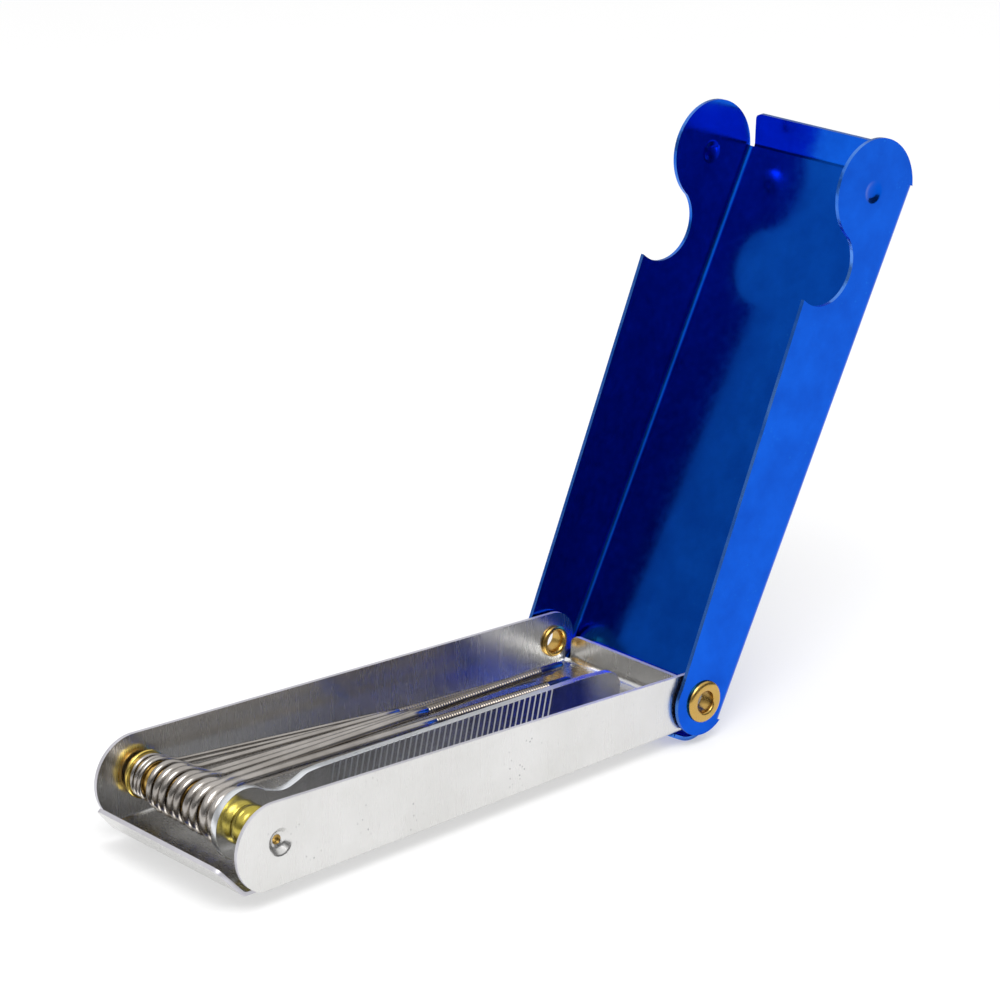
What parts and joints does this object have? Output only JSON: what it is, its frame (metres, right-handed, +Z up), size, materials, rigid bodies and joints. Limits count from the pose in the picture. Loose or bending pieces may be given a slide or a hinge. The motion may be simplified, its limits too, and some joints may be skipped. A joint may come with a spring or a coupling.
{
  "type": "torch tip cleaner set",
  "caption": "Folding sheet-metal case with a hinged blue lid, holding a fan of serrated wire files and one flat file on a cross pin for cleaning torch tips.",
  "frame": {"origin": "below the middle of the opened set, at the height of the surface it stands on, on the case's mid plane", "axes": "+X from the file pin to the lid hinge, +Y across the case along the pin, +Z up out of the tray"},
  "size_m": [0.1102, 0.0296, 0.0717],
  "materials": {
    "tray": "satin bare aluminium sheet",
    "lid": "glossy blue anodised aluminium sheet",
    "eyelet_near": "bright brass",
    "eyelet_far": "bright brass",
    "pin": "bright brass",
    "sleeve_near": "polished brass",
    "sleeve_far": "polished brass",
    "flat_file": "bright hardened steel with pressed teeth",
    "round_file_1": "drawn steel wire, serrated working length",
    "round_file_2": "drawn steel wire, serrated working length",
    "round_file_3": "drawn steel wire, serrated working length",
    "round_file_4": "drawn steel wire, serrated working length",
    "round_file_5": "drawn steel wire, serrated working length",
    "round_file_6": "drawn steel wire, serrated working length",
    "round_file_7": "drawn steel wire, serrated working length"
  },
  "bodies": {
    "case": {"tray": "tray", "eyelet_near": "eyelet_near", "eyelet_far": "eyelet_far", "pin": "pin", "sleeve_near": "sleeve_near", "sleeve_far": "sleeve_far"},
    "lid": {"lid": "lid"},
    "flat_file": {"flat_file": "flat_file"},
    "round_file_1": {"round_file_1": "round_file_1"},
    "round_file_2": {"round_file_2": "round_file_2"},
    "round_file_3": {"round_file_3": "round_file_3"},
    "round_file_4": {"round_file_4": "round_file_4"},
    "round_file_5": {"round_file_5": "round_file_5"},
    "round_file_6": {"round_file_6": "round_file_6"},
    "round_file_7": {"round_file_7": "round_file_7"}
  },
  "joints": [
    {"name": "lid_hinge", "type": "hinge", "parent": "case", "child": "lid", "pos_m": [0.0186, 0, 0.00562], "axis": [0, 1, 0], "range_deg": [-114, 0]},
    {"name": "flat_file_swing", "type": "hinge", "parent": "case", "child": "flat_file", "pos_m": [-0.0474, 0, 0.00777], "axis": [0, -1, 0], "range_deg": [-2.5, 165]},
    {"name": "round_file_1_swing", "type": "hinge", "parent": "case", "child": "round_file_1", "pos_m": [-0.0474, 0, 0.00777], "axis": [0, -1, 0], "range_deg": [-2, 165]},
    {"name": "round_file_2_swing", "type": "hinge", "parent": "case", "child": "round_file_2", "pos_m": [-0.0474, 0, 0.00777], "axis": [0, -1, 0], "range_deg": [-2, 165]},
    {"name": "round_file_3_swing", "type": "hinge", "parent": "case", "child": "round_file_3", "pos_m": [-0.0474, 0, 0.00777], "axis": [0, -1, 0], "range_deg": [-2, 165]},
    {"name": "round_file_4_swing", "type": "hinge", "parent": "case", "child": "round_file_4", "pos_m": [-0.0474, 0, 0.00777], "axis": [0, -1, 0], "range_deg": [-2, 165]},
    {"name": "round_file_5_swing", "type": "hinge", "parent": "case", "child": "round_file_5", "pos_m": [-0.0474, 0, 0.00777], "axis": [0, -1, 0], "range_deg": [-2, 165]},
    {"name": "round_file_6_swing", "type": "hinge", "parent": "case", "child": "round_file_6", "pos_m": [-0.0474, 0, 0.00777], "axis": [0, -1, 0], "range_deg": [-0.8, 165]},
    {"name": "round_file_7_swing", "type": "hinge", "parent": "case", "child": "round_file_7", "pos_m": [-0.0474, 0, 0.00777], "axis": [0, -1, 0], "range_deg": [-0.8, 165]}
  ]
}
